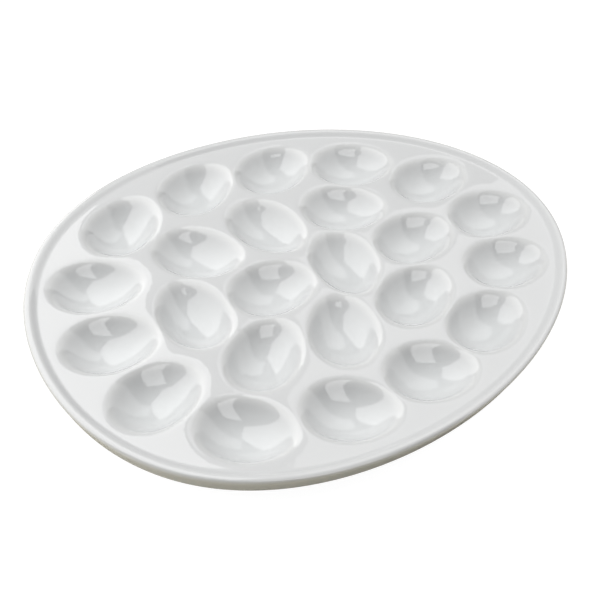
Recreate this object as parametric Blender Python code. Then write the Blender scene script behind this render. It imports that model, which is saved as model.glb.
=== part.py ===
"""Egg-shaped porcelain platter with twenty-four shallow wells for halved eggs.

The long axis is X, with the narrow end at +X. The platter is the same on both sides of the XZ plane,
but for wells of the middle row that lean or sit a little to one side.
Z is up from the table, and the origin is on the table under the middle of the platter.
"""

import math

import bmesh
import bpy

MM = 0.001

# Driving dimensions, in millimetres.
HALF_LENGTH = 178.0
HALF_WIDTH = 141.6
EGG_TAPER = (-0.085, 0.050, -0.040)  # cosine, squared and cubed: how the width narrows to +X
DECK_HEIGHT = 24.0  # flat top, above the table
DECK_THICKNESS = 4.5
WELL_LENGTH = 56.5
WELL_WIDTH = 43.0
WELL_TAPER = 0.08
WELL_DEPTH = 15.0
WELL_FULLNESS = 2.5  # power that the height in a well rises by, from its middle to its mouth
WELL_WALL = 4.5
FOOT_HALF_LENGTH = 106.0  # middle of the foot ring's wall
FOOT_HALF_WIDTH = 76.0
FOOT_WALL = 5.0
BARE_HEIGHT = 3.2  # unglazed ring that stands on the table
JOINT_GAP = 0.3

OUTLINE_STEPS = 64
FOOT_STEPS = 48
WELL_STEPS = 20
BULGE_STEPS = 16

# The rim's section: how far in from the outline, and how high above the deck. It runs from the deck
# over the raised lip, down the skirt, round its lower edge and back up inside to the deck's underside.
RIM_SECTION = (
    (8.4, 0.0),
    (6.6, 0.4),
    (5.0, 1.9),
    (3.4, 2.5),
    (1.2, 1.8),
    (0.0, 0.0),
    (0.6, -3.5),
    (4.2, -11.2),
    (5.6, -12.0),
    (7.8, -11.2),
    (6.6, -6.0),
    (9.0, -DECK_THICKNESS),
)

# Wells of the middle row: X, Y and which way the narrow end points, in degrees from +X.
MIDDLE_WELLS = (
    (-134.5, 0.0, -9),
    (-82.0, 0.0, 91),
    (-29.0, -1.0, 0),
    (23.5, -1.0, -98),
    (77.0, 0.0, 5),
    (137.5, -1.5, -4),
)

# Wells that come in pairs, one on each side: X, distance from the long axis, and the turn of the one
# on the +Y side. Its twin turns the other way.
PAIRED_WELLS = (
    (-125.5, 47.0, -14),
    (-91.5, 90.0, 36),
    (-33.0, 104.0, 26),
    (24.0, 100.5, 16),
    (77.5, 82.5, -17),
    (119.5, 45.5, 4),
    (-58.0, 47.0, -37),
    (-6.5, 50.5, -68),
    (49.0, 45.0, -22),
)


def clear_scene():
    for obj in list(bpy.data.objects):
        bpy.data.objects.remove(obj)


def steps_round(count):
    return [2 * math.pi * step / count for step in range(count)]


def egg_point(half_length, half_width, angle):
    c = math.cos(angle)
    taper = 1 + sum(k * c**power for power, k in enumerate(EGG_TAPER, start=1))
    return half_length * c, half_width * math.sin(angle) * taper


def egg_outline(half_length, half_width, inset, count):
    """Points round the egg, moved square to the curve by inset."""
    turn = 1e-4
    points = []
    for angle in steps_round(count):
        x, y = egg_point(half_length, half_width, angle)
        after = egg_point(half_length, half_width, angle + turn)
        before = egg_point(half_length, half_width, angle - turn)
        along = math.hypot(after[0] - before[0], after[1] - before[1])
        inward = ((before[1] - after[1]) / along, (after[0] - before[0]) / along)
        points.append((x + inset * inward[0], y + inset * inward[1]))
    return points


def well_outline(grown, count):
    """The mouth of a well, widened by grown, with its narrow end at +X."""
    half_length = WELL_LENGTH / 2 + grown
    half_width = WELL_WIDTH / 2 + grown
    points = []
    for angle in steps_round(count):
        width_here = half_width * (1 - WELL_TAPER * math.cos(angle))
        points.append((half_length * math.cos(angle), width_here * math.sin(angle)))
    return points


def new_part(name, bm, collection=None):
    """Turns a bmesh drawn in millimetres into an object in metres."""
    bmesh.ops.scale(bm, vec=(MM, MM, MM), verts=bm.verts)
    bmesh.ops.recalc_face_normals(bm, faces=bm.faces)
    mesh = bpy.data.meshes.new(name)
    bm.to_mesh(mesh)
    bm.free()
    obj = bpy.data.objects.new(name, mesh)
    (collection or bpy.context.scene.collection).objects.link(obj)
    return obj


def bridge(bm, lower, upper):
    count = len(lower)
    for i in range(count):
        j = (i + 1) % count
        bm.faces.new((lower[i], lower[j], upper[j], upper[i]))


def ring(bm, points, height):
    return [bm.verts.new((x, y, height)) for x, y in points]


def rim_and_deck():
    """The platter without its wells: a flat deck inside a raised lip and a tapered skirt."""
    bm = bmesh.new()
    rings = []
    for inset, height in RIM_SECTION:
        points = egg_outline(HALF_LENGTH, HALF_WIDTH, inset, OUTLINE_STEPS)
        rings.append(ring(bm, points, DECK_HEIGHT + height))
    for lower, upper in zip(rings, rings[1:]):
        bridge(bm, lower, upper)
    bm.faces.new(rings[0])
    bm.faces.new(rings[-1])
    return new_part("tray_body", bm)


def bowl(name, collection, grown, top, steps, levels):
    """A well's bowl as a solid, closed at the height top above the deck."""
    depth = WELL_DEPTH + grown
    mouth = well_outline(grown, steps)
    bm = bmesh.new()
    rings = [ring(bm, mouth, top)] if top > 0 else []
    for level in range(levels):
        spread = 1 - level / levels
        height = depth * (spread**WELL_FULLNESS - 1)
        rings.append(ring(bm, [(x * spread, y * spread) for x, y in mouth], height))
    for lower, upper in zip(rings, rings[1:]):
        bridge(bm, lower, upper)
    bm.faces.new(rings[0])
    lowest = bm.verts.new((0, 0, -depth))
    for i in range(steps):
        bm.faces.new((rings[-1][i], rings[-1][(i + 1) % steps], lowest))
    return new_part(name, bm, collection)


def well_places():
    """X, Y and turn of every well."""
    places = list(MIDDLE_WELLS)
    for x, y, turn in PAIRED_WELLS:
        places += [(x, y, turn), (x, -y, -turn)]
    return places


def place_at_wells(pattern, collection, drop):
    """Puts a copy of the pattern under every well, its mouth lowered by drop below the deck."""
    for number, (x, y, turn) in enumerate(well_places(), start=1):
        copy = pattern.copy()
        copy.name = f"{pattern.name}_{number:02d}"
        copy.location = (x * MM, y * MM, (DECK_HEIGHT - drop) * MM)
        copy.rotation_euler = (0, 0, math.radians(turn))
        copy.hide_render = True
        copy.display_type = "WIRE"
        collection.objects.link(copy)
    bpy.data.objects.remove(pattern)


def foot_band(name, bottom, top, collection=None):
    """A stretch of the foot ring's wall between two heights above the table."""
    bm = bmesh.new()
    outer, inner = (
        egg_outline(FOOT_HALF_LENGTH, FOOT_HALF_WIDTH, side * FOOT_WALL / 2, FOOT_STEPS)
        for side in (-1, 1)
    )
    rings = [
        ring(bm, outer, bottom),
        ring(bm, outer, top),
        ring(bm, inner, top),
        ring(bm, inner, bottom),
    ]
    for lower, upper in zip(rings, rings[1:] + rings[:1]):
        bridge(bm, lower, upper)
    return new_part(name, bm, collection)


def helper_collection(name):
    collection = bpy.data.collections.new(name)
    bpy.context.scene.collection.children.link(collection)
    return collection


def boolean(obj, name, operation, collection):
    modifier = obj.modifiers.new(name, "BOOLEAN")
    modifier.operation = operation
    modifier.operand_type = "COLLECTION"
    modifier.collection = collection
    modifier.solver = "EXACT"


def porcelain(name, color, roughness):
    material = bpy.data.materials.new(name)
    material.use_nodes = True
    shader = material.node_tree.nodes["Principled BSDF"]
    shader.inputs["Base Color"].default_value = (*color, 1)
    shader.inputs["Roughness"].default_value = roughness
    shader.inputs["Metallic"].default_value = 0
    return material


def finish(obj, material, sharp_angle):
    obj.data.materials.append(material)
    obj.data.shade_smooth()
    obj.data.set_sharp_from_angle(angle=math.radians(sharp_angle))


def tray_body():
    body = rim_and_deck()
    under = helper_collection("under_side")
    bulge = bowl("bulge", under, WELL_WALL, 0, BULGE_STEPS, 4)
    place_at_wells(bulge, under, 1.0)
    glazed_foot = foot_band(
        "glazed_foot", BARE_HEIGHT + JOINT_GAP, DECK_HEIGHT - DECK_THICKNESS / 2, under
    )
    glazed_foot.hide_render = True
    glazed_foot.display_type = "WIRE"
    hollows = helper_collection("wells")
    well = bowl("well", hollows, 0, 3.0, WELL_STEPS, 5)
    place_at_wells(well, hollows, 0)
    boolean(body, "add the under side", "UNION", under)
    boolean(body, "sink the wells", "DIFFERENCE", hollows)
    finish(body, porcelain("glazed white porcelain", (0.83, 0.84, 0.82), 0.12), 35)


def foot_ring():
    foot = foot_band("foot_ring", 0, BARE_HEIGHT)
    finish(foot, porcelain("bare porcelain", (0.86, 0.84, 0.79), 0.75), 35)


clear_scene()
tray_body()
foot_ring()
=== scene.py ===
import math

import bmesh
import bpy
import numpy as np
from mathutils import Matrix, Vector
from mathutils.geometry import delaunay_2d_cdt


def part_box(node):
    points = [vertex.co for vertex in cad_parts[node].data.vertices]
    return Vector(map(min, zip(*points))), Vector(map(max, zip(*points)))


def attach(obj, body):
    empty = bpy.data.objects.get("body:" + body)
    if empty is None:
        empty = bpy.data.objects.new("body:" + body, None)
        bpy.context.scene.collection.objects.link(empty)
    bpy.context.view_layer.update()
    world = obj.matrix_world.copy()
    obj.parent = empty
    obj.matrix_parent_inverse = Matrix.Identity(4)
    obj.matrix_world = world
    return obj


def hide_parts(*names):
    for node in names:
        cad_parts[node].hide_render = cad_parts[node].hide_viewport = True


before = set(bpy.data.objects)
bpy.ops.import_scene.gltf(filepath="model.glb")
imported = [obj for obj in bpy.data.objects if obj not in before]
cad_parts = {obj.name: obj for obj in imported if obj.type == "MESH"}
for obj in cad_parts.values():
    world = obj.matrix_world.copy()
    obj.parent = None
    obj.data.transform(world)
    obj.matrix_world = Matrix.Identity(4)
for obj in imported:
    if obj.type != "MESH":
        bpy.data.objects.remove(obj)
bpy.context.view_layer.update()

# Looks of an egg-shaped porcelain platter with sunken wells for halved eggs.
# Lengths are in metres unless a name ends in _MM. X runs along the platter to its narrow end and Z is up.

bl_info = {
    "name": "Egg Platter",
    "version": (1, 0, 0),
    "blender": (4, 5, 0),
    "location": "View3D > Sidebar > Egg Platter",
    "description": "Glazed porcelain egg platter, its bare foot ring and a light tent to show it in",
    "category": "Object",
}

MM = 0.001
BODY = "root"
(LOW, HIGH) = (Vector(corner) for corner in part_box("tray_body"))
FOOT_LOW, FOOT_HIGH = (Vector(corner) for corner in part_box("foot_ring"))

# The platter's outline: how its width narrows to +X, as multiples of the cosine and its powers.
EGG_TAPER = (-0.085, 0.050, -0.040)
LIP_RISE = 2.5 * MM
WALL = 4.5 * MM
FOOT_WALL = 5.0 * MM
BOWL_POWER = 2.5
WELL_TAPER = 0.08

# The rim's section in mm: in from the outline, and up from the deck. It runs from the deck over the
# raised lip, down the tapered skirt, round its lower edge and back up to the deck's under side.
RIM_SECTION_MM = (
    (11.0, 0.0),
    (9.4, 0.0),
    (8.1, 0.05),
    (6.9, 0.45),
    (5.6, 1.3),
    (4.4, 2.05),
    (3.2, 2.45),
    (2.0, 2.5),
    (1.05, 2.2),
    (0.4, 1.55),
    (0.1, 0.7),
    (0.2, -0.4),
    (0.8, -2.6),
    (1.75, -5.6),
    (2.8, -8.9),
    (3.45, -11.0),
    (3.95, -11.8),
    (4.8, -12.1),
    (5.8, -11.8),
    (6.3, -10.6),
    (6.3, -8.4),
    (6.8, -6.0),
    (8.4, -4.7),
    (11.0, -4.5),
    (13.0, -4.5),
)

# The glazed foot's section in mm: out from the middle of its wall, and up from the deck.
FOOT_SECTION_MM = (
    (7.0, -4.5),
    (5.0, -4.6),
    (3.5, -5.3),
    (2.8, -6.8),
    (2.6, -9.5),
    (2.5, -13.0),
    (2.5, -17.0),
    (2.5, -19.7),
    (2.25, -20.3),
    (1.7, -20.5),
    (-1.7, -20.5),
    (-2.25, -20.3),
    (-2.5, -19.7),
    (-2.5, -17.0),
    (-2.5, -13.0),
    (-2.6, -9.5),
    (-2.8, -6.8),
    (-3.5, -5.3),
    (-5.0, -4.6),
    (-7.0, -4.5),
)

# Wells of the middle row in mm and degrees: X, Y and which way the narrow end points from +X.
MIDDLE_WELLS = (
    (-134.5, 0.0, -9),
    (-82.0, 0.0, 91),
    (-29.0, -1.0, 0),
    (23.5, -1.0, -98),
    (77.0, 0.0, 5),
    (137.5, -1.5, -4),
)

# Wells in pairs: X, distance from the long axis, and the turn of the one on the +Y side.
PAIRED_WELLS = (
    (-125.5, 47.0, -14),
    (-91.5, 90.0, 36),
    (-33.0, 104.0, 26),
    (24.0, 100.5, 16),
    (77.5, 82.5, -17),
    (119.5, 45.5, 4),
    (-58.0, 47.0, -37),
    (-6.5, 50.5, -68),
    (49.0, 45.0, -22),
)

# Which side of the platter a point is on. Wells are pressed into the top and bulge the under side.
TOP = 1
RIM = 0
UNDER = -1

DECK_STARTS = 5.0 * MM  # in from the outline: the lip's inner slope and the deck can be pressed
CREST_MIDDLE = 3.0 * MM  # in from the outline
CREST_WIDTH = 2.2 * MM
CREST_THINNING = 0.35  # how thin the glaze is on the lip's crest, where 1 is as thin as on a well's edge
TIGHT_SHARE = 0.7  # of a well edge's rounding. The rest of it is the wide, faint outer slope.

OUTLINE_STEPS = 480
FOOT_STEPS = 300
WELL_STEPS = 64
# Rings of points in and round each well, as fractions of its mouth. They are closest at its edge.
WELL_RINGS = (
    0.08, 0.17, 0.26, 0.35, 0.44, 0.53, 0.61, 0.68, 0.745, 0.8,
    0.845, 0.88, 0.91, 0.935, 0.96, 0.98, 1.0, 1.02, 1.04,
)
LIP_RINGS = (1.062, 1.088, 1.118, 1.15)
DECK_REACH = 0.998  # the outermost rings have straight sides, so the deck reaches inside their curve
RING_CLEARANCE = 0.03  # how much nearer to its own well than to another a point of a lip ring is
SECTION_GRAIN = 0.75 * MM
FOOT_SECTION_GRAIN = 1.1 * MM
DECK_GRAIN = 2.3 * MM
UNDER_GRAIN = 2.4 * MM
LEAST_GAP = 0.6  # of the grain, between a filling point and the points that are there already
WELD_DISTANCE = 0.02 * MM
FOOT_CLEARANCE = 0.2 * MM  # on each side of the bare ring, where the glaze stops


# ---------------------------------------------------------------- sizes and colours a user may change


def length(name, description, default):
    return bpy.props.FloatProperty(
        name=name, description=description, default=default, unit="LENGTH", subtype="DISTANCE"
    )


def colour(name, description, default):
    return bpy.props.FloatVectorProperty(
        name=name, description=description, default=default, subtype="COLOR", size=3, min=0, max=1
    )


class EggPlatterShape(bpy.types.PropertyGroup):
    half_length: length("Half length", "Half of the platter's long side", (HIGH.x - LOW.x) / 2)
    half_width: length("Half width", "Half of the platter's width before it narrows", 141.6 * MM)
    deck_height: length("Deck height", "The flat top above the table", HIGH.z - LIP_RISE)
    well_length: length("Well length", "A well's mouth along its long axis", 56.5 * MM)
    well_width: length("Well width", "A well's mouth across", 43.0 * MM)
    well_depth: length("Well depth", "From the deck to a well's lowest point", 15.0 * MM)
    edge_softness: length("Edge softness", "How widely a well's edge is rounded over", 4.4 * MM)
    edge_flare: bpy.props.FloatProperty(
        name="Edge flare", description="How many times wider the edge's faint outer slope is", default=2.1
    )
    under_softness: length("Under softness", "How widely the bulges blend underneath", 4.0 * MM)
    foot_half_length: length("Foot half length", "Middle of the foot's wall along X",
                             (FOOT_HIGH.x - FOOT_LOW.x - FOOT_WALL) / 2)
    foot_half_width: length("Foot half width", "Middle of the foot's wall along Y, before it narrows",
                            76.0 * MM)


class EggPlatterFinish(bpy.types.PropertyGroup):
    glaze: colour("Glaze", "White of the glaze where it lies evenly", (0.61, 0.615, 0.615))
    pooled: colour("Pooled glaze", "Cooler tint where the glaze has run together", (0.575, 0.587, 0.588))
    thin: colour("Thin glaze", "Warmer white on edges, where the glaze is thin", (0.68, 0.684, 0.676))
    speck: colour("Speck", "Iron speck in the porcelain", (0.10, 0.085, 0.07))
    bare: colour("Bare porcelain", "Unglazed body of the foot", (0.78, 0.75, 0.69))
    scuff: colour("Scuff", "Grey the foot picks up from tables", (0.42, 0.41, 0.39))
    floor: colour("Floor", "The pale sweep that the platter stands on", (0.9, 0.9, 0.9))
    thrown_back: colour("Thrown back", "What the sweep throws back up on to the skirt", (0.70, 0.67, 0.57))


# ---------------------------------------------------------------- outlines and sections


def egg_curve(half_length, half_width, angles):
    """Points of the egg at these angles, and the directions square to it that point inwards."""
    c, s = np.cos(angles), np.sin(angles)
    taper = 1 + sum(k * c**power for power, k in enumerate(EGG_TAPER, start=1))
    taper_slope = -s * sum(k * power * c ** (power - 1) for power, k in enumerate(EGG_TAPER, start=1))
    points = np.stack([half_length * c, half_width * s * taper], axis=1)
    along = np.stack([-half_length * s, half_width * (c * taper + s * taper_slope)], axis=1)
    along /= np.linalg.norm(along, axis=1, keepdims=True)
    return points, np.stack([-along[:, 1], along[:, 0]], axis=1)


def angles_round(steps):
    return np.arange(steps) * (2 * math.pi / steps)


def spline_through(points, spacing):
    """A smooth curve through the points, with its own points about a spacing apart."""
    points = np.asarray(points, float)
    knots = np.concatenate([[0], np.cumsum(np.linalg.norm(np.diff(points, axis=0), axis=1) ** 0.5)])
    steps = np.diff(knots)
    count = len(points)
    system, right = np.eye(count), np.zeros_like(points)
    slopes = np.diff(points, axis=0) / steps[:, None]
    for i in range(1, count - 1):
        system[i, i - 1 : i + 2] = steps[i - 1], 2 * (steps[i - 1] + steps[i]), steps[i]
        right[i] = 6 * (slopes[i] - slopes[i - 1])
    bend = np.linalg.solve(system, right)
    curve = [points[:1]]
    for i in range(count - 1):
        pieces = max(1, round(np.linalg.norm(points[i + 1] - points[i]) / spacing))
        t = (np.arange(1, pieces + 1) / pieces)[:, None]
        a, b, h = 1 - t, t, steps[i]
        curve.append(
            a * points[i] + b * points[i + 1]
            + ((a**3 - a) * bend[i] + (b**3 - b) * bend[i + 1]) * h * h / 6
        )
    return np.concatenate(curve)


def well_plan():
    """X, Y and turn of every well, in metres and radians."""
    wells = list(MIDDLE_WELLS)
    for x, y, turn in PAIRED_WELLS:
        wells += [(x, y, turn), (x, -y, -turn)]
    plan = np.array(wells, float)
    plan[:, :2] *= MM
    plan[:, 2] = np.radians(plan[:, 2])
    return plan


def mouth_fraction(points, well, shape):
    """How far out each point lies from a well's middle: 1 on the edge of its mouth."""
    c, s = math.cos(well[2]), math.sin(well[2])
    x, y = points[:, 0] - well[0], points[:, 1] - well[1]
    u = (x * c + y * s) / (shape.well_length / 2)
    v = (y * c - x * s) / (shape.well_width / 2)
    out = np.hypot(u, v)
    return np.hypot(u, v / (1 - WELL_TAPER * u / np.maximum(out, 1e-9)))


def well_ring(well, fraction, shape):
    angles = angles_round(WELL_STEPS)
    x = fraction * shape.well_length / 2 * np.cos(angles)
    y = fraction * shape.well_width / 2 * np.sin(angles) * (1 - WELL_TAPER * np.cos(angles))
    c, s = math.cos(well[2]), math.sin(well[2])
    return np.stack([well[0] + x * c - y * s, well[1] + x * s + y * c], axis=1)


# ---------------------------------------------------------------- the flat blank


class Blank:
    """Collects the sheets of an unpressed platter: points, faces and which side each point is on."""

    def __init__(self):
        self.points, self.faces, self.marks = [], [], []
        self.count = 0

    def add(self, points, side, thin=0.0):
        """Adds points, marked with the side that they are on and how thin the glaze is."""
        first = self.count
        self.points.append(np.asarray(points, float))
        mark = np.empty((len(points), 2))
        mark[:, 0], mark[:, 1] = side, thin
        self.marks.append(mark)
        self.count += len(points)
        return np.arange(first, self.count)

    def bridge(self, inner, outer):
        inner_next, outer_next = np.roll(inner, -1), np.roll(outer, -1)
        self.faces += np.stack([inner, outer, outer_next, inner_next], axis=1).tolist()

    def fan(self, middle, loop):
        for a, b in zip(loop, np.roll(loop, -1)):
            self.faces.append([middle, a, b])

    def fill(self, loops, spare, side, height, wanted, flip=False):
        """Triangles between loops already added, using the spare points too, where wanted says so."""
        known = np.concatenate(loops)
        flat = np.concatenate(self.points)[known, :2]
        added = self.add(np.column_stack([spare, np.full(len(spare), height)]), side)
        everything = np.concatenate([flat, spare])
        index = np.concatenate([known, added])
        edges, start = [], 0
        for loop in loops:
            own = np.arange(start, start + len(loop))
            edges += np.stack([own, np.roll(own, -1)], axis=1).tolist()
            start += len(loop)
        # It works in millimetres here, and 1 leaves out the triangles outside the outermost loop.
        result = delaunay_2d_cdt([Vector(p) for p in everything / MM], edges, [], 1, 1e-4)
        sources = result[3]
        corner = [index[origin[0]] for origin in sources]
        where = np.array([(v.x, v.y) for v in result[0]]) * MM
        triangles = np.array(result[2])
        for a, b, c in triangles[wanted(where[triangles].mean(axis=1))]:
            if flip:
                b, c = c, b
            self.faces.append([corner[a], corner[b], corner[c]])


def honeycomb(half_length, half_width, grain):
    """Evenly spread points over a box, with every second row moved half a step along."""
    rows = np.arange(-half_width, half_width, grain * math.sqrt(3) / 2)
    points = []
    for number, y in enumerate(rows):
        x = np.arange(-half_length + (number % 2) * grain / 2, half_length, grain)
        points.append(np.stack([x, np.full(len(x), y)], axis=1))
    return np.concatenate(points)


def inside_loop(points, loop):
    """Which points lie inside a closed loop round the origin, by the loop's reach in their direction."""
    angle = np.arctan2(loop[:, 1], loop[:, 0])
    order = np.argsort(angle)
    reach = np.hypot(loop[:, 0], loop[:, 1])[order]
    own = np.arctan2(points[:, 1], points[:, 0])
    return np.hypot(points[:, 0], points[:, 1]) < np.interp(own, angle[order], reach, period=2 * math.pi)


def clear_of(points, others, gap):
    """Which points lie further than gap from every one of the others."""
    taken = {}
    for x, y in others:
        taken.setdefault((int(x // gap), int(y // gap)), []).append((x, y))
    kept = []
    for x, y in points:
        i, j = int(x // gap), int(y // gap)
        near = (p for a in (-1, 0, 1) for b in (-1, 0, 1) for p in taken.get((i + a, j + b), ()))
        kept.append(all((x - p[0]) ** 2 + (y - p[1]) ** 2 > gap * gap for p in near))
    return np.array(kept, bool)


def add_rim(blank, shape):
    """Sweeps the rim's section round the outline. Returns its first and last loops."""
    section = spline_through(RIM_SECTION_MM, SECTION_GRAIN / MM) * MM
    points, inwards = egg_curve(shape.half_length, shape.half_width, angles_round(OUTLINE_STEPS))
    lowest = section[:, 1].argmin()
    loops = []
    for number, (inset, height) in enumerate(section):
        flat = points + inwards * inset
        ring = np.column_stack([flat, np.full(len(flat), shape.deck_height + height)])
        if height >= 0 and inset > DECK_STARTS:
            side = TOP
        elif number > lowest:
            side = UNDER
        else:
            side = RIM
        off_crest = (inset - CREST_MIDDLE) / CREST_WIDTH
        thin = CREST_THINNING * math.exp(-(off_crest**2)) if height > 0 else 0
        loops.append(blank.add(ring, side, thin))
    for first, second in zip(loops, loops[1:]):
        blank.bridge(first, second)
    return loops[0], loops[-1]


def add_wells(blank, plan, shape):
    """Rings of points for every well, still flat on the deck. Returns the outermost loop of each."""
    loops = []
    for well in plan:
        middle = blank.add([(well[0], well[1], shape.deck_height)], TOP)[0]
        previous = None
        for fraction in WELL_RINGS:
            flat = well_ring(well, fraction, shape)
            ring = blank.add(np.column_stack([flat, np.full(len(flat), shape.deck_height)]), TOP)
            if previous is None:
                blank.fan(middle, ring)
            else:
                blank.bridge(previous, ring)
            previous = ring
        loops.append(previous)
    return loops


def nearest_fraction(points, plan, shape):
    return np.min([mouth_fraction(points, well, shape) for well in plan], axis=0)


def add_deck(blank, rim_loop, well_loops, plan, shape):
    """The flat deck between the rim and the wells."""
    flat = np.concatenate(blank.points)[:, :2]
    outline = flat[rim_loop]
    rings = []
    for number, well in enumerate(plan):
        others = np.delete(plan, number, axis=0)
        for fraction in LIP_RINGS:
            ring = well_ring(well, fraction, shape)
            rings.append(ring[nearest_fraction(ring, others, shape) > fraction + RING_CLEARANCE])
    rings = np.concatenate(rings)
    comb = honeycomb(shape.half_length, shape.half_width, DECK_GRAIN)
    comb = comb[nearest_fraction(comb, plan, shape) > WELL_RINGS[-1]]
    comb = comb[inside_loop(comb, outline)]
    taken = np.concatenate([rings, outline] + [flat[loop] for loop in well_loops])
    comb = comb[clear_of(comb, taken, DECK_GRAIN * LEAST_GAP)]
    spare = np.concatenate([rings, comb])

    def on_deck(points):
        return nearest_fraction(points, plan, shape) > WELL_RINGS[-1] * DECK_REACH

    blank.fill([rim_loop] + well_loops, spare, TOP, shape.deck_height, on_deck)


def add_under_side(blank, rim_loop, shape):
    """The under side, with the glazed wall of the foot standing down from it."""
    middle, inwards = egg_curve(
        shape.foot_half_length, shape.foot_half_width, angles_round(FOOT_STEPS)
    )
    loops = []
    for out, height in spline_through(FOOT_SECTION_MM, FOOT_SECTION_GRAIN / MM) * MM:
        flat = middle - inwards * out
        ring = np.column_stack([flat, np.full(len(flat), shape.deck_height + height)])
        loops.append(blank.add(ring, UNDER))
    for first, second in zip(loops, loops[1:]):
        blank.bridge(first, second)
    flat = np.concatenate(blank.points)[:, :2]
    outline, outer, inner = flat[rim_loop], flat[loops[0]], flat[loops[-1]]
    comb = honeycomb(shape.half_length, shape.half_width, UNDER_GRAIN)
    comb = comb[inside_loop(comb, outline)]
    comb = comb[clear_of(comb, np.concatenate([outline, outer, inner]), UNDER_GRAIN * LEAST_GAP)]
    height = shape.deck_height - WALL

    def within_foot(points):
        return inside_loop(points, inner)

    def round_foot(points):
        return ~inside_loop(points, outer)

    blank.fill([loops[-1]], comb[within_foot(comb)], UNDER, height, within_foot, flip=True)
    blank.fill([rim_loop, loops[0]], comb[round_foot(comb)], UNDER, height, round_foot, flip=True)


def blank_mesh(shape):
    """The platter before its wells are pressed in: one closed skin with a flat deck."""
    blank = Blank()
    plan = well_plan()
    top_loop, under_loop = add_rim(blank, shape)
    well_loops = add_wells(blank, plan, shape)
    add_deck(blank, top_loop, well_loops, plan, shape)
    add_under_side(blank, under_loop, shape)
    points, marks = np.concatenate(blank.points), np.concatenate(blank.marks)
    # Points that no face uses are left out.
    used = np.unique(np.concatenate(blank.faces))
    renumbered = np.zeros(len(points), int)
    renumbered[used] = np.arange(len(used))
    faces = [renumbered[face].tolist() for face in blank.faces]
    mesh = bpy.data.meshes.new("blank")
    mesh.from_pydata(points[used].tolist(), [], faces)
    for column, name in enumerate(("side", "thin")):
        values = marks[used, column].copy()
        mesh.attributes.new(name, "FLOAT", "POINT").data.foreach_set("value", values)
    return mesh


# ---------------------------------------------------------------- node trees


class Nodes:
    """Short ways to add nodes to a tree and join them. They are laid out in rows of twelve."""

    def __init__(self, tree):
        self.tree = tree
        self.count = 0

    def add(self, kind, settings=None, **sockets):
        node = self.tree.nodes.new(kind)
        row, column = divmod(self.count, 12)
        node.location = (180 * column, -220 * row)
        self.count += 1
        for name, value in (settings or {}).items():
            setattr(node, name, value)
        for name, value in sockets.items():
            self.put(node.inputs[name.replace("_", " ")], value)
        return node

    def put(self, socket, value):
        if isinstance(value, bpy.types.NodeSocket):
            self.tree.links.new(value, socket)
        else:
            socket.default_value = value

    def math(self, operation, *values):
        node = self.add("ShaderNodeMath", {"operation": operation})
        for socket, value in zip(node.inputs, values):
            self.put(socket, value)
        return node.outputs[0]

    def length(self, x, y):
        squares = self.math("ADD", self.math("MULTIPLY", x, x), self.math("MULTIPLY", y, y))
        return self.math("SQRT", squares)

    def attribute(self, name):
        """A float that the geometry carries under this name."""
        return self.add("GeometryNodeInputNamedAttribute", {"data_type": "FLOAT"}, Name=name).outputs[0]

    def store(self, geometry, name, value):
        """The geometry with the value kept on its points under this name."""
        kept = {"data_type": "FLOAT", "domain": "POINT"}
        node = self.add("GeometryNodeStoreNamedAttribute", kept, Geometry=geometry, Name=name)
        self.put(node.inputs["Value"], value)
        return node.outputs[0]

    def finish(self, geometry, material):
        """Ends a tree: smooth shading, real geometry and its material."""
        smooth = self.add("GeometryNodeSetShadeSmooth", Geometry=geometry)
        real = self.add("GeometryNodeRealizeInstances", Geometry=smooth.outputs[0])
        dressed = self.add("GeometryNodeSetMaterial", Geometry=real.outputs[0], Material=material)
        self.add("NodeGroupOutput", Geometry=dressed.outputs[0])


def new_geometry_tree(name, inputs):
    """A Geometry Nodes tree with a geometry in and out, and these named inputs."""
    tree = bpy.data.node_groups.new(name, "GeometryNodeTree")
    tree.is_modifier = True
    tree.interface.new_socket("Geometry", in_out="INPUT", socket_type="NodeSocketGeometry")
    tree.interface.new_socket("Geometry", in_out="OUTPUT", socket_type="NodeSocketGeometry")
    for label, kind in inputs:
        tree.interface.new_socket(label, in_out="INPUT", socket_type=kind)
    return tree, Nodes(tree)


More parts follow.
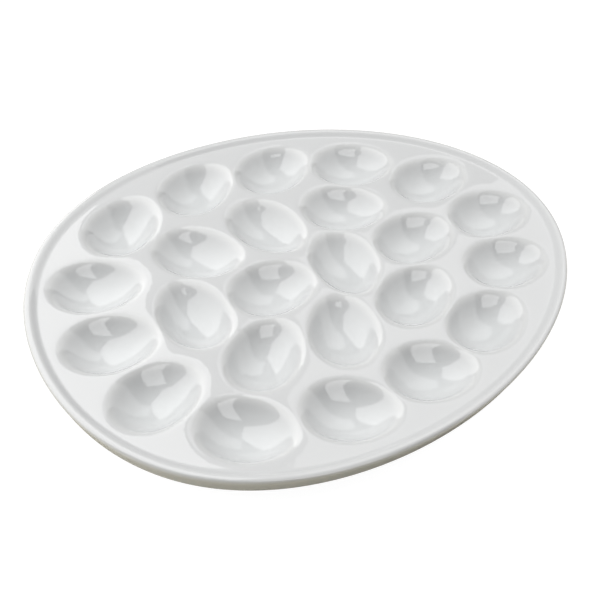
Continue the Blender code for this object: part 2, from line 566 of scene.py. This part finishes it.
def press_wells_tree():
    """Sinks every well into the blank's top, and the matching bulge out of its under side.

    The plan's points say where the wells are. Each one's bowl is a rule of how far a point lies from
    its middle, and it melts into what is there already, so that edges are rounded and bulges blend.
    """
    tree, n = new_geometry_tree("press_wells", (
        ("Well Plan", "NodeSocketObject"),
        ("Wells", "NodeSocketInt"),
        ("Deck Height", "NodeSocketFloat"),
        ("Well Length", "NodeSocketFloat"),
        ("Well Width", "NodeSocketFloat"),
        ("Well Taper", "NodeSocketFloat"),
        ("Well Depth", "NodeSocketFloat"),
        ("Bowl Power", "NodeSocketFloat"),
        ("Wall", "NodeSocketFloat"),
        ("Edge Softness", "NodeSocketFloat"),
        ("Edge Flare", "NodeSocketFloat"),
        ("Under Softness", "NodeSocketFloat"),
        ("Material", "NodeSocketMaterial"),
    ))
    given = n.add("NodeGroupInput").outputs
    plan = n.add("GeometryNodeObjectInfo", Object=given["Well Plan"]).outputs["Geometry"]
    start = n.add("GeometryNodeRepeatInput")
    end = n.add("GeometryNodeRepeatOutput")
    start.pair_with_output(end)
    n.put(start.inputs["Iterations"], given["Wells"])
    n.put(start.inputs["Geometry"], given["Geometry"])
    number = start.outputs["Iteration"]

    side = n.attribute("side")
    under = n.math("LESS_THAN", side, -0.5)
    on_top = n.math("SUBTRACT", 1.0, under)
    pressed = n.math("ABSOLUTE", side)
    grown = n.math("MULTIPLY", under, given["Wall"])
    half_length = n.math("MULTIPLY_ADD", given["Well Length"], 0.5, grown)
    half_width = n.math("MULTIPLY_ADD", given["Well Width"], 0.5, grown)
    depth = n.math("ADD", given["Well Depth"], grown)
    extra = n.math("SUBTRACT", given["Under Softness"], given["Edge Softness"])
    softness = n.math("MULTIPLY_ADD", under, extra, given["Edge Softness"])

    # Where the point lies in the well's own directions, and from that how far out it is.
    here = n.add("GeometryNodeInputPosition").outputs[0]
    place = n.add("GeometryNodeSampleIndex", {"data_type": "FLOAT_VECTOR"}, Geometry=plan, Index=number)
    n.put(place.inputs["Value"], here)
    turn = n.add("GeometryNodeSampleIndex", {"data_type": "FLOAT"}, Geometry=plan, Index=number)
    n.put(turn.inputs["Value"], n.attribute("turn"))
    own = n.add("ShaderNodeSeparateXYZ", Vector=here).outputs
    middle = n.add("ShaderNodeSeparateXYZ", Vector=place.outputs[0]).outputs
    x = n.math("SUBTRACT", own[0], middle[0])
    y = n.math("SUBTRACT", own[1], middle[1])
    c = n.math("COSINE", turn.outputs[0])
    s = n.math("SINE", turn.outputs[0])
    along = n.math("ADD", n.math("MULTIPLY", x, c), n.math("MULTIPLY", y, s))
    across = n.math("SUBTRACT", n.math("MULTIPLY", y, c), n.math("MULTIPLY", x, s))
    u = n.math("DIVIDE", along, half_length)
    v = n.math("DIVIDE", across, half_width)
    out = n.math("MAXIMUM", n.length(u, v), 1e-6)
    taper = n.math("MULTIPLY", given["Well Taper"], n.math("DIVIDE", u, out))
    v = n.math("DIVIDE", v, n.math("SUBTRACT", 1.0, taper))
    fraction = n.length(u, v)

    # The lower of the bowl and the skin so far, and lower still where the two are close together.
    rise = n.math("SUBTRACT", n.math("POWER", fraction, given["Bowl Power"]), 1.0)
    bowl = n.math("MULTIPLY_ADD", depth, rise, given["Deck Height"])
    apart = n.math("ABSOLUTE", n.math("SUBTRACT", own[2], bowl))

    def melt_over(reach):
        """1 where bowl and skin meet, falling to 0 where they are as far apart as the reach."""
        return n.math("DIVIDE", n.math("MAXIMUM", n.math("SUBTRACT", reach, apart), 0.0), reach)

    melt = melt_over(softness)
    tight = n.math("MULTIPLY", n.math("MULTIPLY", melt, melt), softness)
    wide = n.math("MULTIPLY", softness, given["Edge Flare"])
    melt_wide = melt_over(wide)
    flare = n.math("MULTIPLY", n.math("MULTIPLY", melt_wide, melt_wide), wide)
    # A quarter of the reach is what a smooth meeting of two surfaces takes off where they cross.
    flare = n.math("MULTIPLY", flare, 0.25 * (1 - TIGHT_SHARE))
    sag = n.math("MULTIPLY_ADD", tight, 0.25 * TIGHT_SHARE, flare)
    lower = n.math("SUBTRACT", n.math("MINIMUM", own[2], bowl), sag)
    drop = n.math("MULTIPLY", pressed, n.math("SUBTRACT", lower, own[2]))
    offset = n.add("ShaderNodeCombineXYZ", Z=drop).outputs[0]
    edge = n.math("MULTIPLY", n.math("MULTIPLY", melt, pressed), on_top)
    thin = n.math("MAXIMUM", n.attribute("thin"), edge)
    marked = n.store(start.outputs["Geometry"], "thin", thin)
    moved = n.add("GeometryNodeSetPosition", Geometry=marked, Offset=offset)
    n.put(end.inputs["Geometry"], moved.outputs[0])

    # Glaze pools deeper in the wells.
    pressed_here = n.add("GeometryNodeInputPosition").outputs[0]
    height = n.add("ShaderNodeSeparateXYZ", Vector=pressed_here).outputs[2]
    below = n.math("SUBTRACT", given["Deck Height"], height)
    pool = n.math("DIVIDE", below, given["Well Depth"])
    pool = n.math("MINIMUM", n.math("MAXIMUM", pool, 0.0), 1.0)
    pool = n.math("MULTIPLY", pool, n.math("GREATER_THAN", side, 0.5))
    pooled = n.store(end.outputs["Geometry"], "pool", pool)
    whole = n.add("GeometryNodeMergeByDistance", Geometry=pooled, Distance=WELD_DISTANCE)
    n.finish(whole.outputs[0], given["Material"])
    return tree


def sweep_ring_tree():
    """Sweeps a rounded bar's section round a closed path."""
    tree, n = new_geometry_tree("sweep_ring", (
        ("Width", "NodeSocketFloat"),
        ("Height", "NodeSocketFloat"),
        ("Edge Radius", "NodeSocketFloat"),
        ("Edge Steps", "NodeSocketInt"),
        ("Material", "NodeSocketMaterial"),
    ))
    given = n.add("NodeGroupInput").outputs
    path = n.add("GeometryNodeMeshToCurve", Mesh=given["Geometry"]).outputs[0]
    bar = n.add("GeometryNodeCurvePrimitiveQuadrilateral", Width=given["Width"], Height=given["Height"])
    rounded = n.add("GeometryNodeFilletCurve", {"mode": "POLY"}, Curve=bar.outputs[0],
                    Count=given["Edge Steps"], Radius=given["Edge Radius"])
    swept = n.add("GeometryNodeCurveToMesh", Curve=path)
    n.put(swept.inputs["Profile Curve"], rounded.outputs[0])
    n.finish(swept.outputs[0], given["Material"])
    return tree


def grown_from(base, tree, values, name):
    """Runs a tree on a base object and keeps the result as a plain mesh object of that name."""
    modifier = base.modifiers.new(tree.name, "NODES")
    modifier.node_group = tree
    for item in tree.interface.items_tree:
        if item.in_out == "INPUT" and item.name in values:
            modifier[item.identifier] = values[item.name]
    bpy.context.view_layer.update()
    evaluated = base.evaluated_get(bpy.context.evaluated_depsgraph_get())
    mesh = bpy.data.meshes.new_from_object(evaluated)
    mesh.name = name
    base.modifiers.remove(modifier)
    bpy.data.objects.remove(base)
    piece = bpy.data.objects.new(name, mesh)
    bpy.context.scene.collection.objects.link(piece)
    if not mesh.polygons:
        raise RuntimeError(f"{name} came out empty")
    return piece


def linked(name, mesh):
    obj = bpy.data.objects.new(name, mesh)
    bpy.context.scene.collection.objects.link(obj)
    return obj


# ---------------------------------------------------------------- materials


def new_shader_group(name, inputs, outputs):
    tree = bpy.data.node_groups.new(name, "ShaderNodeTree")
    for label, default in inputs:
        socket = tree.interface.new_socket(label, in_out="INPUT", socket_type="NodeSocketFloat")
        socket.default_value = default
    for label in outputs:
        tree.interface.new_socket(label, in_out="OUTPUT", socket_type="NodeSocketFloat")
    n = Nodes(tree)
    return tree, n, n.add("NodeGroupInput").outputs, n.add("NodeGroupOutput").inputs


def iron_specks_group():
    """A mask of small round specks, one in some of the cells of a random pattern."""
    tree, n, given, out = new_shader_group(
        "iron_specks", (("Spacing", 0.02), ("Share", 0.05), ("Radius", 0.0003)), ("Mask",)
    )
    where = n.add("ShaderNodeTexCoord").outputs["Object"]
    scale = n.math("DIVIDE", 1.0, given["Spacing"])
    cells = n.add("ShaderNodeTexVoronoi", {"voronoi_dimensions": "3D"}, Vector=where, Scale=scale)
    draw = n.add("ShaderNodeSeparateColor", Color=cells.outputs["Color"]).outputs
    chosen = n.math("LESS_THAN", draw[0], given["Share"])
    relative = n.math("MULTIPLY", given["Radius"], scale)
    size = n.math("MULTIPLY", relative, n.math("ADD", draw[1], 0.4))
    shape = n.math("SUBTRACT", 1.0, n.math("DIVIDE", cells.outputs["Distance"], size))
    soft = n.math("MINIMUM", n.math("MULTIPLY", n.math("MAXIMUM", shape, 0.0), 2.5), 1.0)
    n.put(out["Mask"], n.math("MULTIPLY", soft, chosen))
    return tree


def drift_group():
    """Slow, cloudy change over the surface, from 0 to 1, with a fine ripple beside it."""
    tree, n, given, out = new_shader_group(
        "drift", (("Cloud Size", 0.03), ("Ripple Size", 0.004)), ("Cloud", "Ripple")
    )
    where = n.add("ShaderNodeTexCoord").outputs["Object"]
    for label, size, detail in (("Cloud", "Cloud Size", 2.0), ("Ripple", "Ripple Size", 1.0)):
        scale = n.math("DIVIDE", 1.0, given[size])
        noise = n.add(
            "ShaderNodeTexNoise", {"noise_dimensions": "3D"}, Vector=where, Scale=scale, Detail=detail
        )
        n.put(out[label], noise.outputs["Fac"])
    return tree


def new_material(name):
    material = bpy.data.materials.new(name)
    material.use_nodes = True
    n = Nodes(material.node_tree)
    shader = material.node_tree.nodes["Principled BSDF"]
    return material, n, shader


def mixed(n, factor, first, second):
    """A blend of two colours. The node's colour sockets are 6 and 7, and its colour output is 2."""
    mix = n.add("ShaderNodeMix", {"data_type": "RGBA"}, Factor=factor)
    for socket, value in ((mix.inputs[6], first), (mix.inputs[7], second)):
        n.put(socket, value if isinstance(value, bpy.types.NodeSocket) else (*value, 1))
    return mix.outputs[2]


def group_node(n, name, make, **values):
    """Adds the shared group of this name, which is made the first time that it is asked for."""
    group = bpy.data.node_groups.get(name) or make()
    return n.add("ShaderNodeGroup", {"node_tree": group}, **values).outputs


def glaze_material(finish):
    """Clear gloss glaze over white porcelain: cooler where it pools, warmer and whiter on edges."""
    material, n, shader = new_material("white_glaze")
    pool = n.add("ShaderNodeAttribute", {"attribute_name": "pool"}).outputs["Fac"]
    thin = n.add("ShaderNodeAttribute", {"attribute_name": "thin"}).outputs["Fac"]
    drift = group_node(n, "drift", drift_group, Cloud_Size=0.035, Ripple_Size=0.006)
    specks = group_node(n, "iron_specks", iron_specks_group, Spacing=0.021, Share=0.09, Radius=0.0005)
    gathered = n.math("MULTIPLY", pool, n.math("MULTIPLY_ADD", drift["Cloud"], 0.6, 0.6))
    colour_now = mixed(n, gathered, finish.glaze, finish.pooled)
    colour_now = mixed(n, n.math("MULTIPLY", thin, 0.7), colour_now, finish.thin)
    colour_now = mixed(n, n.math("MULTIPLY", specks["Mask"], 0.75), colour_now, finish.speck)
    n.put(shader.inputs["Base Color"], colour_now)
    n.put(shader.inputs["Roughness"], n.math("MULTIPLY_ADD", drift["Cloud"], 0.02, 0.008))
    shader.inputs["IOR"].default_value = 1.6
    ripple = n.add("ShaderNodeBump", Strength=0.12, Distance=0.00025, Height=drift["Ripple"])
    n.put(shader.inputs["Normal"], ripple.outputs[0])
    return material


def bare_material(finish):
    """Unglazed porcelain: matt and a little warm, ground flat, with grey scuffs from tables."""
    material, n, shader = new_material("bare_porcelain")
    drift = group_node(n, "drift", drift_group, Cloud_Size=0.012, Ripple_Size=0.0008)
    specks = group_node(n, "iron_specks", iron_specks_group, Spacing=0.006, Share=0.12, Radius=0.0002)
    scuffed = n.math("MULTIPLY", n.math("MAXIMUM", n.math("SUBTRACT", drift["Cloud"], 0.5), 0.0), 1.6)
    colour_now = mixed(n, scuffed, finish.bare, finish.scuff)
    colour_now = mixed(n, specks["Mask"], colour_now, finish.speck)
    n.put(shader.inputs["Base Color"], colour_now)
    n.put(shader.inputs["Roughness"], n.math("MULTIPLY_ADD", drift["Cloud"], 0.2, 0.6))
    grain = n.add("ShaderNodeBump", Strength=0.5, Distance=0.0001, Height=drift["Ripple"])
    n.put(shader.inputs["Normal"], grain.outputs[0])
    return material


def floor_material(finish):
    """A pale sweep that glows, so that shadows on it stay faint. It throws a warm light back up."""
    material, n, shader = new_material("pale_sweep")
    seen = n.add("ShaderNodeLightPath").outputs["Is Camera Ray"]
    drift = group_node(n, "drift", drift_group, Cloud_Size=0.4, Ripple_Size=0.002)
    shown = tuple(part * FLOOR_LIT_SHARE for part in finish.floor)
    n.put(shader.inputs["Base Color"], mixed(n, seen, finish.thrown_back, shown))
    shader.inputs["Roughness"].default_value = 0.9
    shader.inputs["Specular IOR Level"].default_value = 0.1
    shader.inputs["Emission Color"].default_value = (1, 1, 1, 1)
    glow = n.math("MULTIPLY_ADD", drift["Cloud"], 0.02, FLOOR_GLOW)
    n.put(shader.inputs["Emission Strength"], n.math("MULTIPLY", seen, glow))
    # Its glow is only seen and lights nothing, so it isn't sampled as a lamp.
    material.cycles.emission_sampling = "NONE"
    return material


# ---------------------------------------------------------------- operators


class EGGPLATTER_OT_tray_body(bpy.types.Operator):
    """Make the glazed body: deck, lip, skirt, wells and the foot's glazed wall"""

    bl_idname = "egg_platter.tray_body"
    bl_label = "Glazed Body"

    def execute(self, context):
        shape, finish = context.scene.egg_platter_shape, context.scene.egg_platter_finish
        plan = well_plan()
        plan_mesh = bpy.data.meshes.new("well_plan")
        plan_mesh.from_pydata([(x, y, 0) for x, y, _turn in plan], [], [])
        plan_mesh.attributes.new("turn", "FLOAT", "POINT").data.foreach_set("value", plan[:, 2].copy())
        plan_object = linked("well_plan", plan_mesh)
        platter = grown_from(linked("blank", blank_mesh(shape)), press_wells_tree(), {
            "Well Plan": plan_object,
            "Wells": len(plan),
            "Deck Height": shape.deck_height,
            "Well Length": shape.well_length,
            "Well Width": shape.well_width,
            "Well Taper": WELL_TAPER,
            "Well Depth": shape.well_depth,
            "Bowl Power": BOWL_POWER,
            "Wall": WALL,
            "Edge Softness": shape.edge_softness,
            "Edge Flare": shape.edge_flare,
            "Under Softness": shape.under_softness,
            "Material": glaze_material(finish),
        }, "platter")
        bpy.data.objects.remove(plan_object)
        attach(platter, BODY)
        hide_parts("tray_body")
        return {"FINISHED"}


class EGGPLATTER_OT_foot_ring(bpy.types.Operator):
    """Make the bare ring that the platter stands on"""

    bl_idname = "egg_platter.foot_ring"
    bl_label = "Bare Foot Ring"

    def execute(self, context):
        shape, finish = context.scene.egg_platter_shape, context.scene.egg_platter_finish
        height = FOOT_HIGH.z - FOOT_LOW.z
        points, _inwards = egg_curve(
            shape.foot_half_length, shape.foot_half_width, angles_round(FOOT_STEPS)
        )
        loop = np.column_stack([points, np.full(len(points), FOOT_LOW.z + height / 2)])
        path = bpy.data.meshes.new("foot_path")
        path.from_pydata(loop.tolist(), [(i, (i + 1) % len(loop)) for i in range(len(loop))], [])
        foot = grown_from(linked("foot_path", path), sweep_ring_tree(), {
            "Width": FOOT_WALL - 2 * FOOT_CLEARANCE,
            "Height": height,
            "Edge Radius": 0.7 * MM,
            "Edge Steps": 4,
            "Material": bare_material(finish),
        }, "bare_foot")
        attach(foot, BODY)
        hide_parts("foot_ring")
        return {"FINISHED"}


# The sheets of light that show as reflections in the glaze: corners in metres, and radiance.
PANELS = {
    "left_panel": (
        ((-0.07, 0.62, 0.04), (-0.01, 0.01, 0.39), (-0.18, -0.22, 0.41), (-0.54, 0.01, 0.01)),
        2.1,
    ),
    "right_panel": (
        ((1.22, 0.16, 0.01), (0.45, 0.80, 0.99), (0.24, 0.36, 1.20), (0.21, -0.43, 0.01)),
        1.15,
    ),
    "front_panel": (
        ((-0.64, -1.07, 1.35), (0.47, -1.80, 1.42), (0.38, -1.17, 0.01), (-0.12, -0.85, 0.01)),
        2.5,
    ),
}

# The lamps that light the porcelain: place and width in metres, and watts.
LAMPS = {
    "left_lamp": ((-1.5, 0.7, 0.9), 0.9, 9.6),
    "back_lamp": ((-0.4, 1.2, 1.6), 1.2, 14.6),
    "top_lamp": ((0.0, 0.0, 2.0), 1.4, 8.4),
    "high_left_lamp": ((-1.3, 0.2, 1.5), 1.2, 17.5),
    "high_right_lamp": ((1.3, -0.3, 1.4), 1.2, 18.6),
}

FLOOR_HALF_SIZE = 3.0
FLOOR_DROP = 0.1 * MM  # keeps the sweep off the bare ring's flat face
FLOOR_LIT_SHARE = 0.12  # of the floor's colour, which takes light and shadow. The rest is its glow.
FLOOR_GLOW = 0.96
TENT_GLOW = 0.03  # of the white all round, as the porcelain gets it

# Where the camera stands: round from behind -Y, up from the table, and leaning, in degrees. Then how
# far it is moved in its own directions from a point above the origin, and its lens.
CAMERA_TURN = -34.56
CAMERA_RISE = 46.28
CAMERA_LEAN = 6.51
CAMERA_OFFSET_MM = (16.2, 2.0, 643.4)
CAMERA_POINT_MM = (0.0, 0.0, 2.5)
CAMERA_LENS_MM = 59.44
CAMERA_SENSOR_MM = 36.0
CAMERA_SHIFT = (-0.0597, -0.0140)


def add_lamp(name, place, width, watts):
    """A square soft lamp aimed at the platter. It is left out of reflections, which show the panels."""
    data = bpy.data.lights.new(name, "AREA")
    data.size, data.energy = width, watts
    lamp = bpy.data.objects.new(name, data)
    lamp.location = place
    lamp.rotation_euler = (-Vector(place)).to_track_quat("-Z", "Y").to_euler()
    lamp.visible_glossy = False
    bpy.context.scene.collection.objects.link(lamp)


def add_panel(name, corners, radiance):
    """A flat sheet of light that shows only in reflections."""
    mesh = bpy.data.meshes.new(name)
    mesh.from_pydata(corners, [], [(0, 1, 2, 3)])
    material, _nodes, shader = new_material(name + "_light")
    shader.inputs["Base Color"].default_value = (0, 0, 0, 1)
    shader.inputs["Emission Color"].default_value = (1, 1, 1, 1)
    shader.inputs["Emission Strength"].default_value = radiance
    material.cycles.emission_sampling = "NONE"
    mesh.materials.append(material)
    panel = linked(name, mesh)
    panel.visible_camera = False
    panel.visible_diffuse = False
    panel.visible_shadow = False


def add_floor(finish):
    bm = bmesh.new()
    bmesh.ops.create_grid(bm, x_segments=8, y_segments=8, size=FLOOR_HALF_SIZE)
    mesh = bpy.data.meshes.new("floor")
    bm.to_mesh(mesh)
    bm.free()
    mesh.materials.append(floor_material(finish))
    floor = linked("floor", mesh)
    floor.location.z = -FLOOR_DROP


def add_tent(scene):
    """The white all round: bright as a backdrop, faint as a light."""
    world = scene.world or bpy.data.worlds.new("light_tent")
    scene.world = world
    world.use_nodes = True
    n = Nodes(world.node_tree)
    backdrop = world.node_tree.nodes["Background"]
    backdrop.inputs["Color"].default_value = (0.97, 0.98, 1.0, 1)
    seen = n.add("ShaderNodeLightPath").outputs["Is Camera Ray"]
    n.put(backdrop.inputs["Strength"], n.math("MULTIPLY_ADD", seen, 1 - TENT_GLOW, TENT_GLOW))


def add_camera(scene):
    data = bpy.data.cameras.new("camera")
    data.lens, data.sensor_width = CAMERA_LENS_MM, CAMERA_SENSOR_MM
    data.shift_x, data.shift_y = CAMERA_SHIFT
    data.clip_start = 0.01
    camera = bpy.data.objects.new("camera", data)
    turn, rise, lean = (math.radians(a) for a in (CAMERA_TURN, CAMERA_RISE, CAMERA_LEAN))
    # The camera looks along its own -Z. Its axes are turned up from the table, round, and leant.
    facing = Matrix.Rotation(turn, 4, "Z") @ Matrix.Rotation(math.pi / 2 - rise, 4, "X")
    facing = facing @ Matrix.Rotation(lean, 4, "Z")
    point = Matrix.Translation(Vector(CAMERA_POINT_MM) * MM)
    camera.matrix_world = point @ facing @ Matrix.Translation(Vector(CAMERA_OFFSET_MM) * MM)
    scene.collection.objects.link(camera)
    scene.camera = camera


class EGGPLATTER_OT_stage(bpy.types.Operator):
    """Make the pale floor, the soft lights and the camera"""

    bl_idname = "egg_platter.stage"
    bl_label = "Floor, Lights and Camera"

    def execute(self, context):
        scene = context.scene
        add_floor(scene.egg_platter_finish)
        for name, (corners, radiance) in PANELS.items():
            add_panel(name, corners, radiance)
        for name, (place, width, watts) in LAMPS.items():
            add_lamp(name, place, width, watts)
        add_tent(scene)
        add_camera(scene)
        scene.view_settings.view_transform = "Standard"
        return {"FINISHED"}


class EGGPLATTER_PT_panel(bpy.types.Panel):
    """Lists the platter's pieces and their sizes"""

    bl_idname = "EGGPLATTER_PT_panel"
    bl_label = "Egg Platter"
    bl_space_type = "VIEW_3D"
    bl_region_type = "UI"
    bl_category = "Egg Platter"

    def draw(self, context):
        layout = self.layout
        for settings in (context.scene.egg_platter_shape, context.scene.egg_platter_finish):
            for name in settings.__annotations__:
                layout.prop(settings, name)
        for operator in STEPS:
            layout.operator(operator.bl_idname)


STEPS = (EGGPLATTER_OT_tray_body, EGGPLATTER_OT_foot_ring, EGGPLATTER_OT_stage)
CLASSES = (EggPlatterShape, EggPlatterFinish, *STEPS, EGGPLATTER_PT_panel)


def register():
    for cls in CLASSES:
        bpy.utils.register_class(cls)
    bpy.types.Scene.egg_platter_shape = bpy.props.PointerProperty(type=EggPlatterShape)
    bpy.types.Scene.egg_platter_finish = bpy.props.PointerProperty(type=EggPlatterFinish)


def unregister():
    del bpy.types.Scene.egg_platter_finish
    del bpy.types.Scene.egg_platter_shape
    for cls in reversed(CLASSES):
        bpy.utils.unregister_class(cls)


def main():
    register()
    bpy.ops.egg_platter.tray_body()
    bpy.ops.egg_platter.foot_ring()
    bpy.ops.egg_platter.stage()


if __name__ == "__main__":
    main()
